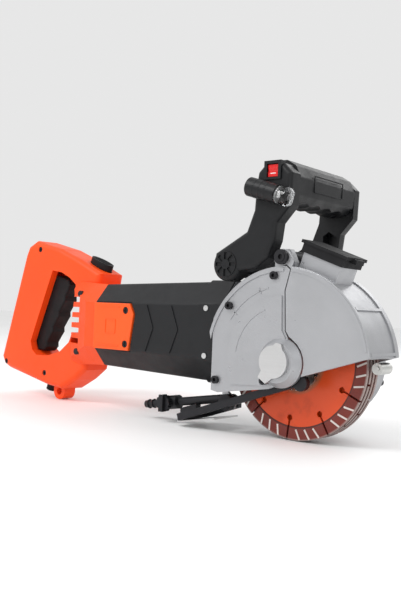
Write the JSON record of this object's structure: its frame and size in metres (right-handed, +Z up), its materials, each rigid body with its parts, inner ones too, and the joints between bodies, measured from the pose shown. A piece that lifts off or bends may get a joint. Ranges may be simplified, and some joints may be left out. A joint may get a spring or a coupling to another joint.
{
  "type": "wall chaser",
  "caption": "Wall chaser with a gang of slotted diamond blades in a cast guard, closed rear handle with finger-grooved trigger and tilting front handle.",
  "frame": {"origin": "bottom centre of the bounding box", "axes": "+X forward along the motor towards the blades, +Y towards the gear case side, +Z up"},
  "size_m": [0.507, 0.137, 0.2385],
  "materials": {
    "body_charcoal": "fine moulded texture",
    "handle_black": "satin",
    "shell_orange": "satin",
    "cover_orange": "satin",
    "grip_rubber": "matt",
    "guard_cast": "satin cast",
    "gear_case": "satin cast",
    "plate_steel": "bright",
    "dark_steel": "blackened",
    "steel": "ground",
    "blade_orange": "painted core, sintered rim",
    "rubber_black": "matt",
    "copper": "enamelled winding",
    "carbon": "pressed carbon",
    "switch_red": "gloss",
    "lens_clear": "clear",
    "roller_white": "satin",
    "zinc": "zinc plated"
  },
  "bodies": {
    "machine": {"bearings": "steel", "brush_cover_far": "cover_orange", "brush_cover_near": "cover_orange", "brush_holders": "copper", "cable_gland": "rubber_black", "carbon_brushes": "carbon", "case_screws": "dark_steel", "collar_band": "body_charcoal", "cross_tube": "zinc", "field_windings": "copper", "front_roller_axle": "zinc", "gearbox_cover": "gear_case", "gearbox_housing": "gear_case", "guard_screws": "zinc", "guard_shell": "guard_cast", "guard_side_plate": "guard_cast", "hub_cap": "plate_steel", "motor_housing": "body_charcoal", "pivot_rod": "steel", "rear_shell_far": "shell_orange", "rear_shell_near": "shell_orange", "stator_core": "steel", "stop_bolt": "dark_steel", "switch_module": "rubber_black"},
    "spindle": {"spindle_shaft": "steel", "blade_1": "blade_orange", "blade_2": "blade_orange", "blade_3": "blade_orange", "blade_4": "blade_orange", "blade_spacers": "steel", "inner_flange": "steel", "outer_flange": "steel", "spindle_nut": "steel", "spur_gear": "steel"},
    "layshaft": {"layshaft": "steel", "spur_pinion": "steel", "bevel_gear": "steel"},
    "armature": {"armature_shaft": "steel", "armature_core": "steel", "commutator": "copper", "cooling_fan": "rubber_black", "bevel_pinion": "steel"},
    "front_handle": {"handle_arm_near": "handle_black", "handle_arm_far": "handle_black", "handle_grip": "handle_black", "pivot_sleeves": "handle_black", "pivot_covers": "handle_black", "torch_body": "handle_black", "torch_lens": "lens_clear"},
    "rocker": {"rocker_key": "switch_red"},
    "trigger": {"trigger_paddle": "grip_rubber"},
    "lock_button": {"lock_button": "rubber_black"},
    "front_cover": {"guard_front_cover": "guard_cast"},
    "shoe": {"shoe_rail": "dark_steel", "skid_plate": "plate_steel", "water_tube": "zinc", "water_valve_body": "zinc"},
    "valve_knob": {"water_valve_knob": "dark_steel"},
    "front_roller": {"front_roller": "roller_white"},
    "dust_cap": {"dust_cap": "rubber_black"}
  },
  "joints": [
    {"name": "spindle_spin", "type": "hinge", "parent": "machine", "child": "spindle", "pos_m": [0.1725, -0.0161, 0.067], "axis": [0, 1, 0], "continuous": true},
    {"name": "layshaft_spin", "type": "hinge", "parent": "machine", "child": "layshaft", "pos_m": [0.1205, 0.0239, 0.0885], "axis": [0, 1, 0], "continuous": true},
    {"name": "armature_spin", "type": "hinge", "parent": "machine", "child": "armature", "pos_m": [0.0225, 0.0079, 0.0885], "axis": [1, 0, 0], "continuous": true},
    {"name": "handle_tilt", "type": "hinge", "parent": "machine", "child": "front_handle", "pos_m": [0.1145, 0.0079, 0.149], "axis": [0, 1, 0], "range_deg": [-45, 0]},
    {"name": "rocker_switch", "type": "hinge", "parent": "front_handle", "child": "rocker", "pos_m": [0.1605, -0.0535, 0.2273], "axis": [1, 0, 0], "range_deg": [-7, 7]},
    {"name": "trigger_squeeze", "type": "hinge", "parent": "machine", "child": "trigger", "pos_m": [-0.174, 0.0079, 0.1365], "axis": [0, 1, 0], "range_deg": [0, 5], "stiffness_Nm_per_rad": 1.5, "springref_deg": -2.86},
    {"name": "lock_press", "type": "slide", "parent": "machine", "child": "lock_button", "axis": [-0.3665, 0, -0.9304], "range_m": [0, 0.0025], "stiffness_N_per_m": 400, "springref_m": -0.001},
    {"name": "front_cover_swing", "type": "hinge", "parent": "machine", "child": "front_cover", "pos_m": [0.1707, -0.0506, 0.155], "axis": [0, 1, 0], "range_deg": [-60, 0]},
    {"name": "shoe_swing", "type": "hinge", "parent": "machine", "child": "shoe", "pos_m": [0.1725, -0.0451, 0.067], "axis": [0, 1, 0], "range_deg": [0, 6]},
    {"name": "valve_turn", "type": "hinge", "parent": "shoe", "child": "valve_knob", "pos_m": [0.032, -0.0311, 0.018], "axis": [0, 1, 0], "range_deg": [0, 90]},
    {"name": "front_roller_spin", "type": "hinge", "parent": "machine", "child": "front_roller", "pos_m": [0.2465, -0.0161, 0.067], "axis": [0, 1, 0], "continuous": true},
    {"name": "dust_cap_pull", "type": "slide", "parent": "machine", "child": "dust_cap", "axis": [0.342, 0, 0.9397], "range_m": [0, 0.03]}
  ],
  "couplings": [
    {"joint": "layshaft_spin", "follows": "spindle_spin", "ratio": -2.5},
    {"joint": "armature_spin", "follows": "spindle_spin", "ratio": -7}
  ]
}
